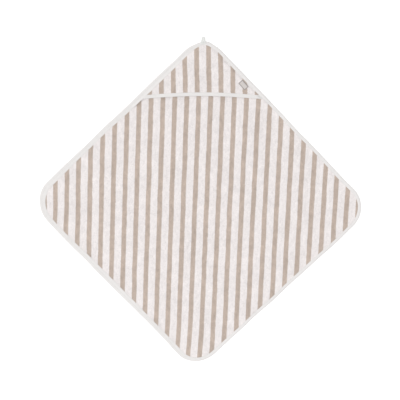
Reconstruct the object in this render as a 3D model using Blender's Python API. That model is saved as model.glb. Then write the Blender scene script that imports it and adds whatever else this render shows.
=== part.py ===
"""Hooded baby towel, laid out flat.

A square of striped terry cloth stands on one corner. A second, three-cornered layer of the same cloth
lies on its upper corner and makes the hood. A folded tape binds the whole edge, a second folded tape
binds the hood's free edge (its mouth), and a short tape loop hangs the towel up by the hood's corner.

Metres. +X is to the right, +Y points from the towel's middle to the hood's corner, +Z is up.
The origin is under the middle of the object's box, on the surface that the towel lies on.
The hood turns up about a line along X at its corner, and the loop turns over about a line along X
at its sewn end.
"""

import math

import bmesh
import bpy
from mathutils import Vector

# Driving dimensions of the cloth.
SIDE = 0.750  # side of the square, before its corners are rounded
CORNER_RADIUS = 0.083  # rounding of the four corners
TERRY = 0.004  # thickness of the open terry cloth
SEWN_TERRY = 0.0016  # thickness of one layer pressed flat in a seam
PRESSED_SLOPE = 0.004  # width over which the cloth swells from pressed to open

# Driving dimensions of the hood.
HOOD_DEPTH = 0.1946  # from the square's sharp corner to the middle of the mouth
MOUTH_BOW_RADIUS = 1.64  # the mouth is bowed towards the corner by an arc of this radius
MOUTH_SKEW = 0.0243  # rise of the mouth from left to right: it is sewn a little askew
HOOD_SIDE_CLEARANCE = 0.0008  # from the hood's side to the edge binding

# Driving dimensions of the tapes and threads.
TAPE = 0.0006  # thickness of the binding tape
BINDING_WIDTH = 0.012  # width of each lap of the edge binding
MOUTH_BINDING_WIDTH = 0.0115  # width of each lap of the mouth binding
THREAD = 0.0004  # diameter of the sewing thread
SEAM_SETBACK = 0.002  # from a lap's free edge back to its stitch line
LIFT_RAMP = 0.015  # length over which the edge binding drops from two layers to one
GAP = 0.0003  # between pieces that touch

# Driving dimensions of the hanging loop.
LOOP_REACH = 0.022  # how far it stands out past the hood's corner
LOOP_FOOT = 0.003  # how much of it lies on the edge binding
LOOP_BASE_WIDTH = 0.021
LOOP_TIP_RADIUS = 0.006
LOOP_TAPE_WIDTH = 0.005
LOOP_THICKNESS = 0.0012
LOOP_EYE_RISE = 0.001  # from the towel's edge to the near end of the loop's eye
BARTACK_SIZE = (0.016, 0.0015, 0.0004)
BARTACK_SETBACK = 0.0012  # from the loop's foot to the bar of stitches

# Driving dimensions of the label.
LABEL_SIZE = (0.028, 0.0165, 0.0006)
LABEL_FROM_MOUTH = 0.0889  # its middle, measured up the right side from the mouth's end
LABEL_FROM_BINDING = 0.0111  # its middle, measured in from the edge binding
LABEL_ANGLE = math.radians(-48.0)
LABEL_STITCH_INSET = 0.0015

# Fineness of the round stretches.
CORNER_STEPS = 12
MOUTH_STEPS = 16
TIP_STEPS = 10

# Places that follow from the dimensions above.
HALF_DIAGONAL = SIDE / math.sqrt(2.0)
CORNER_CENTRE = HALF_DIAGONAL - CORNER_RADIUS * math.sqrt(2.0)
CORNER_TIP = CORNER_CENTRE + CORNER_RADIUS
TOWEL_CENTRE_Y = -LOOP_REACH / 2.0
MOUTH_Y = HALF_DIAGONAL - HOOD_DEPTH

LAP_BOTTOM = THREAD + 2.0 * GAP
PRESSED_BOTTOM = LAP_BOTTOM + TAPE + GAP
PRESSED_TOP = PRESSED_BOTTOM + SEWN_TERRY
LAP_TOP = PRESSED_TOP + GAP + TAPE
SECOND_LAYER = SEWN_TERRY + GAP
HOOD_BOTTOM = TERRY + GAP
HOOD_TOP = HOOD_BOTTOM + TERRY
HOOD_INSET = BINDING_WIDTH + HOOD_SIDE_CLEARANCE
HOOD_HINGE = Vector((0.0, CORNER_TIP - HOOD_INSET, HOOD_TOP))
LOOP_HINGE = Vector((0.0, CORNER_TIP - LOOP_FOOT, LAP_TOP + SECOND_LAYER + GAP + LOOP_THICKNESS / 2.0))


def clear_scene():
    """Remove every object of the scene that the script starts in."""
    for obj in list(bpy.data.objects):
        bpy.data.objects.remove(obj, do_unlink=True)


def make_collection(name):
    collection = bpy.data.collections.new(name)
    bpy.context.scene.collection.children.link(collection)
    return collection


def make_material(name, colour, roughness):
    """A Principled BSDF material of one colour."""
    material = bpy.data.materials.new(name)
    material.use_nodes = True
    shader = material.node_tree.nodes["Principled BSDF"]
    shader.inputs["Base Color"].default_value = (*colour, 1.0)
    shader.inputs["Roughness"].default_value = roughness
    shader.inputs["Metallic"].default_value = 0.0
    return material


def make_empty(name, collection, location, parent=None):
    empty = bpy.data.objects.new(name, None)
    empty.location = location
    empty.parent = parent
    collection.objects.link(empty)
    return empty


def place(obj, collection, parent, material, location=(0.0, 0.0, 0.0)):
    """Put a finished object in its collection, under its parent and with its own material."""
    collection.objects.link(obj)
    obj.parent = parent
    obj.location = location
    obj.data.materials.append(material)
    return obj


def loft(name, sections, closed):
    """A solid skinned over a row of sections with equal numbers of points.

    A closed row joins its last section to its first, and an open one is capped at both ends.
    """
    shape = bmesh.new()
    rings = [[shape.verts.new(point) for point in section] for section in sections]
    pairs = list(zip(rings, rings[1:]))
    if closed:
        pairs.append((rings[-1], rings[0]))
    for ring, following in pairs:
        for i in range(len(ring)):
            j = (i + 1) % len(ring)
            shape.faces.new((ring[i], ring[j], following[j], following[i]))
    if not closed:
        shape.faces.new(rings[0])
        shape.faces.new(rings[-1])
    bmesh.ops.recalc_face_normals(shape, faces=shape.faces)
    mesh = bpy.data.meshes.new(name)
    shape.to_mesh(mesh)
    shape.free()
    return bpy.data.objects.new(name, mesh)


def thread_curve(name, points, cyclic):
    """A round thread along a row of points."""
    curve = bpy.data.curves.new(name, "CURVE")
    curve.dimensions = "3D"
    curve.bevel_depth = THREAD / 2.0
    curve.bevel_resolution = 2
    curve.use_fill_caps = not cyclic
    spline = curve.splines.new("POLY")
    spline.points.add(len(points) - 1)
    for spline_point, point in zip(spline.points, points):
        spline_point.co = (*point, 1.0)
    spline.use_cyclic_u = cyclic
    return bpy.data.objects.new(name, curve)


def box(name, size):
    """A box with its middle at the object's origin."""
    shape = bmesh.new()
    bmesh.ops.create_cube(shape, size=1.0)
    bmesh.ops.scale(shape, vec=size, verts=shape.verts)
    mesh = bpy.data.meshes.new(name)
    shape.to_mesh(mesh)
    shape.free()
    return bpy.data.objects.new(name, mesh)


def corner_stations(facing, layers):
    """Stations round one corner, as the arc's centre, the outward direction and the hood layers there."""
    centre = Vector((math.cos(facing), math.sin(facing))) * CORNER_CENTRE
    start = facing - math.pi / 4.0
    return [(centre, start + math.pi / 2.0 * i / CORNER_STEPS, layers) for i in range(CORNER_STEPS + 1)]


def side_station(side, distance, layers):
    """A station on a side of the hood's corner, this far from the sharp corner. side is 1 right, -1 left."""
    outward = math.pi / 2.0 - side * math.pi / 4.0
    along = distance / math.sqrt(2.0)
    edge = Vector((side * along, HALF_DIAGONAL - along))
    normal = Vector((math.cos(outward), math.sin(outward)))
    return edge - normal * CORNER_RADIUS, outward, layers


def edge_stations():
    """Stations round the whole edge, counter-clockwise from the right corner.

    Next to the hood the binding takes in two layers. It drops to one layer just past each mouth end.
    """
    right_end = mouth_end_distance(1)
    left_end = mouth_end_distance(-1)
    return [
        *corner_stations(0.0, 0.0),
        side_station(1, right_end + LIFT_RAMP, 0.0),
        side_station(1, right_end, 1.0),
        *corner_stations(math.pi / 2.0, 1.0),
        side_station(-1, left_end, 1.0),
        side_station(-1, left_end + LIFT_RAMP, 0.0),
        *corner_stations(math.pi, 0.0),
        *corner_stations(1.5 * math.pi, 0.0),
    ]


def edge_point(station, inset, height):
    """The point this far in from the towel's edge at a station, at this height."""
    centre, outward, _ = station
    reach = CORNER_RADIUS - inset
    return (centre.x + reach * math.cos(outward), centre.y + reach * math.sin(outward), height)


def mouth_height(x, inset):
    """The mouth's edge as y over x: a bowed line, a little askew, this far up from the free edge."""
    return MOUTH_Y + inset + MOUTH_SKEW * x - x * x / (2.0 * MOUTH_BOW_RADIUS)


def mouth_ends(side_inset, mouth_inset):
    """The x of the mouth's left and right ends, where it meets the two sides this far in."""
    room = HALF_DIAGONAL - side_inset * math.sqrt(2.0) - MOUTH_Y - mouth_inset

    def end(skew):
        slope = 1.0 + skew
        return 2.0 * room / (slope + math.sqrt(slope * slope - 2.0 * room / MOUTH_BOW_RADIUS))

    return -end(-MOUTH_SKEW), end(MOUTH_SKEW)


def mouth_end_distance(side):
    """How far a mouth end is from the sharp corner, along the towel's edge. side is 1 right, -1 left."""
    left, right = mouth_ends(0.0, 0.0)
    return (right if side > 0 else -left) * math.sqrt(2.0)


def mouth_point(share, side_inset, mouth_inset, height):
    """The point at this share of the way along the mouth, from its left end to its right."""
    left, right = mouth_ends(side_inset, mouth_inset)
    x = left + (right - left) * share
    return (x, mouth_height(x, mouth_inset), height)


def hood_ring(side_inset, mouth_inset, height):
    """The hood's outline, in from its sides and its mouth by these, at this height."""
    corner = [edge_point(station, side_inset, height) for station in corner_stations(math.pi / 2.0, 0.0)]
    mouth = [mouth_point(i / MOUTH_STEPS, side_inset, mouth_inset, height) for i in range(MOUTH_STEPS + 1)]
    return corner + mouth


def lap_section(width, bottom, top):
    """A tape folded over an edge, as pairs of inset and height: two laps and the fold between them."""
    chamfer = 0.7 * TAPE
    return [
        (width, bottom),
        (width, bottom + TAPE),
        (TAPE, bottom + TAPE),
        (TAPE, top - TAPE),
        (width, top - TAPE),
        (width, top),
        (chamfer, top),
        (0.0, top - chamfer),
        (0.0, bottom + chamfer),
        (chamfer, bottom),
    ]


def body_panel():
    """The square of terry: pressed flat in the binding all round, and swelling to its full thickness."""
    in_fold = TAPE + GAP
    past_lap = BINDING_WIDTH + GAP
    levels = [
        (past_lap + PRESSED_SLOPE, 0.0),
        (past_lap, PRESSED_BOTTOM),
        (in_fold, PRESSED_BOTTOM),
        (in_fold, PRESSED_TOP),
        (past_lap, PRESSED_TOP),
        (past_lap + PRESSED_SLOPE, TERRY),
    ]
    stations = edge_stations()
    rings = [[edge_point(station, inset, height) for station in stations] for inset, height in levels]
    return loft("body_panel", rings, closed=False)


def hood_panel():
    """The three-cornered layer of terry that lies on the body panel."""
    in_fold = TAPE + GAP
    past_lap = MOUTH_BINDING_WIDTH + GAP
    low = HOOD_BOTTOM + PRESSED_BOTTOM
    high = HOOD_BOTTOM + PRESSED_TOP
    levels = [
        (HOOD_INSET + PRESSED_SLOPE, past_lap + PRESSED_SLOPE, HOOD_BOTTOM),
        (HOOD_INSET, past_lap, low),
        (HOOD_INSET, in_fold, low),
        (HOOD_INSET, in_fold, high),
        (HOOD_INSET, past_lap, high),
        (HOOD_INSET + PRESSED_SLOPE, past_lap + PRESSED_SLOPE, HOOD_TOP),
    ]
    return loft("hood_panel", [hood_ring(*level) for level in levels], closed=False)


def edge_binding():
    """The tape folded over the towel's edge, all the way round."""
    sections = []
    for station in edge_stations():
        outline = lap_section(BINDING_WIDTH, LAP_BOTTOM, LAP_TOP + SECOND_LAYER * station[2])
        sections.append([edge_point(station, inset, height) for inset, height in outline])
    return loft("edge_binding", sections, closed=True)


def hood_mouth_binding():
    """The tape folded over the hood's free edge, cut off in line with the hood's two sides."""
    outline = lap_section(MOUTH_BINDING_WIDTH, HOOD_BOTTOM + LAP_BOTTOM, HOOD_BOTTOM + LAP_TOP)
    sections = [
        [mouth_point(i / MOUTH_STEPS, HOOD_INSET, inset, height) for inset, height in outline]
        for i in range(MOUTH_STEPS + 1)
    ]
    return loft("hood_mouth_binding", sections, closed=False)


def edge_thread(name, height, follows_hood):
    """The stitch line round the edge binding, at this height next to a single layer."""
    inset = BINDING_WIDTH - SEAM_SETBACK
    points = []
    for station in edge_stations():
        lift = SECOND_LAYER * station[2] if follows_hood else 0.0
        points.append(edge_point(station, inset, height + lift))
    return thread_curve(name, points, cyclic=True)


def mouth_thread(name, height):
    """The stitch line along the mouth binding, at this height."""
    inset = MOUTH_BINDING_WIDTH - SEAM_SETBACK
    points = [mouth_point(i / MOUTH_STEPS, HOOD_INSET, inset, height) for i in range(MOUTH_STEPS + 1)]
    return thread_curve(name, points, cyclic=False)


def loop_tangent():
    """The direction, from the tip arc's centre, in which the loop's side leaves the arc."""
    half_base = LOOP_BASE_WIDTH / 2.0
    centre = LOOP_FOOT + LOOP_REACH - LOOP_TIP_RADIUS
    return math.acos(LOOP_TIP_RADIUS / math.hypot(half_base, centre)) - math.atan2(centre, half_base)


def loop_outline(offset, near_end):
    """The loop's outline in from its outer edge by offset, starting this far from its hinge."""
    centre = LOOP_FOOT + LOOP_REACH - LOOP_TIP_RADIUS
    lean = loop_tangent()
    half_base = LOOP_BASE_WIDTH / 2.0 - offset / math.cos(lean) - near_end * math.tan(lean)
    radius = LOOP_TIP_RADIUS - offset
    sweep = math.pi - 2.0 * lean
    tip = []
    for i in range(TIP_STEPS + 1):
        angle = lean + sweep * i / TIP_STEPS
        tip.append((radius * math.cos(angle), centre + radius * math.sin(angle)))
    return [(half_base, near_end), *tip, (-half_base, near_end)]


def hanging_loop():
    """The tape loop: a flat outline with an eye, its sewn end on the hinge."""
    curve = bpy.data.curves.new("hanging_loop", "CURVE")
    curve.dimensions = "2D"
    curve.fill_mode = "BOTH"
    curve.extrude = LOOP_THICKNESS / 2.0
    outlines = [loop_outline(0.0, 0.0), loop_outline(LOOP_TAPE_WIDTH, LOOP_FOOT + LOOP_EYE_RISE)]
    for outline in outlines:
        spline = curve.splines.new("POLY")
        spline.points.add(len(outline) - 1)
        for spline_point, (x, y) in zip(spline.points, outline):
            spline_point.co = (x, y, 0.0, 1.0)
        spline.use_cyclic_u = True
    return bpy.data.objects.new("hanging_loop", curve)


def bartack_location():
    """The bar of stitches lies on the edge binding, just behind the loop's foot."""
    y = LOOP_HINGE.y - BARTACK_SETBACK - BARTACK_SIZE[1] / 2.0
    return (0.0, y, LAP_TOP + SECOND_LAYER + GAP + BARTACK_SIZE[2] / 2.0)


def label_location():
    """The label lies on the hood, near its right side."""
    inset = BINDING_WIDTH + LABEL_FROM_BINDING
    beside = side_station(1, mouth_end_distance(1) - LABEL_FROM_MOUTH, 1.0)
    return Vector(edge_point(beside, inset, HOOD_TOP + GAP + LABEL_SIZE[2] / 2.0))


def label_thread():
    """The stitches round the label, in the label's own frame."""
    half_length = LABEL_SIZE[0] / 2.0 - LABEL_STITCH_INSET
    half_width = LABEL_SIZE[1] / 2.0 - LABEL_STITCH_INSET
    height = LABEL_SIZE[2] / 2.0 + GAP + THREAD / 2.0
    signs = ((1, 1), (-1, 1), (-1, -1), (1, -1))
    return thread_curve("label_thread", [(a * half_length, b * half_width, height) for a, b in signs], cyclic=True)


def main():
    clear_scene()
    parts = make_collection("hooded_baby_towel")
    terry = (0.80, 0.75, 0.70)
    white = (0.87, 0.86, 0.85)
    towel = make_empty("towel", parts, (0.0, TOWEL_CENTRE_Y, 0.0))
    hood = make_empty("hood", parts, HOOD_HINGE, towel)
    from_hinge = -HOOD_HINGE
    needle = LAP_TOP + GAP + THREAD / 2.0
    bobbin = LAP_BOTTOM - GAP - THREAD / 2.0

    place(body_panel(), parts, towel, make_material("body_terry", terry, 0.95))
    place(edge_binding(), parts, towel, make_material("edge_tape", white, 0.85))
    place(
        edge_thread("edge_needle_thread", needle, follows_hood=True),
        parts,
        towel,
        make_material("edge_needle_cotton", white, 0.7),
    )
    place(
        edge_thread("edge_bobbin_thread", bobbin, follows_hood=False),
        parts,
        towel,
        make_material("edge_bobbin_cotton", white, 0.7),
    )
    place(
        box("loop_bartack", BARTACK_SIZE),
        parts,
        towel,
        make_material("bartack_cotton", white, 0.7),
        bartack_location(),
    )

    place(hood_panel(), parts, hood, make_material("hood_terry", terry, 0.95), from_hinge)
    place(hood_mouth_binding(), parts, hood, make_material("mouth_tape", white, 0.85), from_hinge)
    place(
        mouth_thread("mouth_needle_thread", HOOD_BOTTOM + needle),
        parts,
        hood,
        make_material("mouth_needle_cotton", white, 0.7),
        from_hinge,
    )
    place(
        mouth_thread("mouth_bobbin_thread", HOOD_BOTTOM + bobbin),
        parts,
        hood,
        make_material("mouth_bobbin_cotton", white, 0.7),
        from_hinge,
    )
    label_place = label_location() + from_hinge
    for piece, finish in (
        (box("hood_label", LABEL_SIZE), make_material("label_ribbon", (0.60, 0.55, 0.53), 0.6)),
        (label_thread(), make_material("label_cotton", (0.40, 0.38, 0.37), 0.7)),
    ):
        place(piece, parts, hood, finish, label_place)
        piece.rotation_euler.z = LABEL_ANGLE

    place(hanging_loop(), parts, towel, make_material("loop_tape", white, 0.8), LOOP_HINGE)


if __name__ == "__main__":
    main()
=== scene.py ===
"""Hooded baby towel, laid out flat, as it is seen.

A square of looped terry on one corner, with a three-cornered hood over its upper corner. Tape binds the
edge and the hood's mouth, and a tape loop stands out at the hood's corner.

Metres. +X is to the right, +Y towards the hood's corner, +Z up out of the cloth. Each piece is laid out
flat, as it was sewn, and is then settled: the same swells, puckers and pulls move every layer.
"""

import math

import bpy
import numpy as np
from mathutils import Matrix, Vector


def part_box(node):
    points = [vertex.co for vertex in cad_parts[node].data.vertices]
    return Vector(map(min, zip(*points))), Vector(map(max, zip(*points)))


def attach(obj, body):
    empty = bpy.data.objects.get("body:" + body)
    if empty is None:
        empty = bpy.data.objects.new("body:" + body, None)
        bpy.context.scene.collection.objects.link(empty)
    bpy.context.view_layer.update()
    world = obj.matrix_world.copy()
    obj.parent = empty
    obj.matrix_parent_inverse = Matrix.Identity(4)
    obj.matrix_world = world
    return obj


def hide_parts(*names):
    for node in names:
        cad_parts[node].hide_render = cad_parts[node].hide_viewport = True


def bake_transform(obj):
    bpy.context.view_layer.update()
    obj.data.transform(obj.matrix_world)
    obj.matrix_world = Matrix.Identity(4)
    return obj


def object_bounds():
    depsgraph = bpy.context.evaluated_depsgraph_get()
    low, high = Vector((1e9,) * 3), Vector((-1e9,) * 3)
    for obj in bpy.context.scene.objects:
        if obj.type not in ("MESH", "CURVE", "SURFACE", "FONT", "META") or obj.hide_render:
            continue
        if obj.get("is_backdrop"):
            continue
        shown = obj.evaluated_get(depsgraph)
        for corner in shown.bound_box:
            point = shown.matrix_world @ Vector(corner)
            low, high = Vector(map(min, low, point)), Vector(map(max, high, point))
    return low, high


bl_info = {
    "name": "Hooded Baby Towel",
    "version": (1, 0, 0),
    "blender": (4, 5, 0),
    "location": "3D View > Sidebar > Baby Towel",
    "description": "Builds a hooded baby towel of striped terry, piece by piece",
    "category": "Add Mesh",
}

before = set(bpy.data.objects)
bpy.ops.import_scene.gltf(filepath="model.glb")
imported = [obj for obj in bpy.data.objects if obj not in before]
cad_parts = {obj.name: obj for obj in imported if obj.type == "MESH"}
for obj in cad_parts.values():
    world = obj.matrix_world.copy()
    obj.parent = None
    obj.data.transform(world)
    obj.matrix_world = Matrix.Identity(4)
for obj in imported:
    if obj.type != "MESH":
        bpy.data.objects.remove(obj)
CAD_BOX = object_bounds()

ROOT_2 = math.sqrt(2.0)
TURN = 2.0 * math.pi
QUARTER_TURN = math.pi / 2.0


def levels(node):
    """The lowest and highest level of a CAD node."""
    low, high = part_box(node)
    return low.z, high.z


# Places and levels that the frame gives.
EDGE_LOW, EDGE_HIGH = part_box("edge_binding")
CENTRE_Y = (EDGE_LOW.y + EDGE_HIGH.y) / 2.0
CORNER_REACH = (EDGE_HIGH.y - EDGE_LOW.y) / 2.0
BODY_BOTTOM, BODY_TOP = levels("body_panel")
HOOD_BOTTOM, HOOD_TOP = levels("hood_panel")
LAP_BOTTOM, DOUBLE_LAP_TOP = levels("edge_binding")
MOUTH_LAP_BOTTOM, MOUTH_LAP_TOP = levels("hood_mouth_binding")
LABEL_BOTTOM, LABEL_TOP = levels("hood_label")
NEEDLE_BOTTOM, NEEDLE_TOP = levels("edge_needle_thread")
BOBBIN_BOTTOM, BOBBIN_TOP = levels("edge_bobbin_thread")
THREAD = BOBBIN_TOP - BOBBIN_BOTTOM
SECOND_LAYER = NEEDLE_TOP - NEEDLE_BOTTOM - THREAD
LAP_TOP = DOUBLE_LAP_TOP - SECOND_LAYER

# Levels inside the seams.
SEWN_TERRY = 0.0016
BODY_SEWN_MIDDLE = (LAP_BOTTOM + LAP_TOP) / 2.0
HOOD_SEWN_MIDDLE = BODY_SEWN_MIDDLE + SECOND_LAYER
MOUTH_MIDDLE = (MOUTH_LAP_BOTTOM + MOUTH_LAP_TOP) / 2.0
HOOD_MIDDLE = (HOOD_BOTTOM + HOOD_TOP) / 2.0
CLOTH_IN_FOLD = 0.0013  # from the fold of a tape to the cloth's cut edge
SWELL = 0.009  # width over which the cloth swells from pressed to open
SEAM_SETBACK = 0.002  # from the mouth binding's free edge back to its seam
SEWN_TAPE = 0.0005  # thickness of the loop's tape under its stitches
LOOP_PAST_BAR = 0.0012  # from the bar of stitches to the cut ends of the loop
PAST_SEAM = 0.0015  # from the edge seam to where the cloth starts to swell
GAP = 0.0003  # between one layer and the next
TAPE_TUCK = 0.006  # from the towel's edge in to the ends of the mouth's tape
THREAD_TUCK = 0.010  # and to the ends of its threads
TERRY_IN_SEAM_CORNER = 0.0009  # how much thinner the terry is where both seams press it
MOUTH_BULGE = 0.0009  # how far the ends of the mouth's tape lift the edge binding over them
CUT_BACK = 0.0025  # from each sharp end of the hood's halves to where the cloth is cut off
STEPS_PER_STITCH = 8
SEAM_DIP = 0.0006  # how far the long seams' threads dip into the tape
SIDES = {-1: "left", 1: "right"}

# Stripes: the middle one's place, their lean, how they fan out, and how far they waver.
BODY_STRIPES = {"Offset": -0.0150, "Lean": 0.0129, "Fan": 0.0135, "Waver": 0.004}
HOOD_STRIPES = {"Offset": -0.0044, "Lean": -0.033, "Fan": 0.0, "Waver": 0.004}

# All of the cloth but the loop's corner slides to the right, and it is pulled: x, y, spread, pull in x and y.
SLIDE = 0.0016
PULLS = (
    (-CORNER_REACH, 0.0, 0.055, 0.0046, 0.0),
    (CORNER_REACH, 0.0, 0.045, -0.0020, 0.0025),
    (0.0, -CORNER_REACH, 0.055, -0.0040, -0.0046),
    (0.0, CORNER_REACH, 0.075, -SLIDE, 0.0),
    (0.008, CORNER_REACH, 0.017, 0.0, 0.0065),
)


def number(label, text, default, **settings):
    return bpy.props.FloatProperty(name=label, description=text, default=default, precision=4, **settings)


def length(label, text, default):
    return number(label, text, default, min=0.0, unit="LENGTH")


def colour(label, text, default):
    return bpy.props.FloatVectorProperty(
        name=label, description=text, default=default, min=0.0, max=1.0, size=3, subtype="COLOR"
    )


class TowelSizes(bpy.types.PropertyGroup):
    """Sizes of the towel's cloth, tapes, threads and stripes."""

    corner_radius: length("Corner Radius", "Rounding of the four corners", 0.083)
    hood_depth: length("Hood Depth", "From the sharp corner to the mouth's middle", 0.1929)
    mouth_bow: length("Mouth Bow", "Radius of the mouth's arc", 1.64)
    mouth_skew: number("Mouth Skew", "Rise of the mouth from left to right", 0.0243)
    edge_lap: length("Edge Lap", "Mean width of each lap of the edge binding", 0.0142)
    edge_lap_skew: length("Edge Lap Skew", "How far off its middle it is folded", 0.0039)
    edge_lap_wander: length("Edge Lap Wander", "How far the laps' free edges wander", 0.0014)
    edge_seam: length("Edge Seam", "From the towel's edge to the seam of its binding", 0.0088)
    mouth_tape_width: length("Mouth Tape Width", "Width of each lap of the mouth binding", 0.0115)
    tape_thickness: length("Tape Thickness", "Thickness of the binding tape", 0.0006)
    stitch: length("Stitch", "Length of one stitch of the long seams", 0.003)
    swell: length("Swell", "Rise of the cloth off the ground", 0.0022)
    edge_swell: length("Edge Swell", "Further rise of its edge", 0.0022)
    pucker: length("Pucker", "Depth of the small gathers along the seams", 0.0007)
    hood_air: length("Air Under Hood", "From the hood to the cloth under it", 0.0013)
    mouth_lift: length("Mouth Lift", "How much more there is at its mouth", 0.0007)
    stripe_pitch: length("Stripe Pitch", "From one stripe to the next on the body", 0.0358)
    hood_stripe_pitch: length("Hood Stripe Pitch", "From one stripe to the next on the hood", 0.0360)
    stripe_share: number("Stripe Share", "Share of the pitch that is coloured", 0.40)
    pile_loop: length("Pile Loop", "From one loop of the pile to the next", 0.0013)
    loop_width: length("Hanging Loop Width", "Width across the loop's two sewn ends", 0.0166)
    loop_foot: length("Hanging Loop Foot", "Width of the loop's tape at its sewn ends", 0.0078)
    loop_tape: length("Hanging Loop Tape", "Width of the loop's tape at its tip", 0.0050)
    loop_tip: length("Hanging Loop Tip", "Outer radius of the loop's tip", 0.0053)
    loop_reach: length("Hanging Loop Reach", "From the towel's corner to its tip", 0.0174)
    label_length: length("Label Length", "Long side of the label", 0.028)
    label_width: length("Label Width", "Short side of the label", 0.0165)
    label_angle: number("Label Angle", "Turn of its long side", math.radians(-48.0), unit="ROTATION")


class TowelColours(bpy.types.PropertyGroup):
    """Colours of the towel's cloth, tapes and threads."""

    terry_white: colour("Terry White", "Ground colour of the terry", (0.871, 0.822, 0.813))
    terry_beige: colour("Terry Beige", "Colour of the stripes", (0.540, 0.4435, 0.381))
    tape: colour("Binding Tape", "Colour of both bindings", (0.758, 0.738, 0.727))
    loop: colour("Hanging Loop", "Colour of the hanging loop", (0.720, 0.728, 0.708))
    label: colour("Label", "Colour of the woven label", (0.61, 0.57, 0.55))
    # The label's border colour darkens a band round its rim.
    label_border: colour("Label Border", "Colour of the darker band round the label's rim", (0.40, 0.365, 0.355))
    label_stitches: colour("Label Stitches", "Colour of the label's stitches", (0.22, 0.20, 0.20))
    cotton: colour("Sewing Cotton", "Colour of the sewing cotton", (0.90, 0.885, 0.87))


def smooth(share):
    """0 below 0, 1 above 1 and an even S between: 3 t^2 - 2 t^3."""
    share = np.clip(share, 0.0, 1.0)
    return share * share * (3.0 - 2.0 * share)


def mixed(first, second, share):
    """first where share is 0, second where it is 1."""
    return first + (second - first) * share


def bell(*offsets):
    """A bell curve of the distance: exp(-(the sum of the squares of the offsets))."""
    return np.exp(-sum(offset * offset for offset in offsets))


def close_at_ends(count):
    """Values from -1 to 1 that lie closest together at both ends: the sines of even angles."""
    return np.sin(np.linspace(-1.0, 1.0, count) * QUARTER_TURN)


def random_waves(x, y, seed, shortest, longest, count=9):
    """A soft random swell of about -1 to 1: a sum of sine waves of random heading, length and phase."""
    draw = np.random.default_rng(seed)
    total = np.zeros(np.shape(x))
    for _ in range(count):
        heading, wave, phase = draw.uniform((0.0, shortest, 0.0), (TURN, longest, TURN))
        total += np.sin(TURN * (x * math.cos(heading) + y * math.sin(heading)) / wave + phase)
    return np.tanh(total / math.sqrt(count))


def near_tape(past):
    """1 under a tape, falling to 0 with the distance past its free edge: how flat the pile is pressed, and
    how much painted shade it gets.
    """
    return 1.0 - smooth((past + 0.001) / 0.010)


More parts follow.
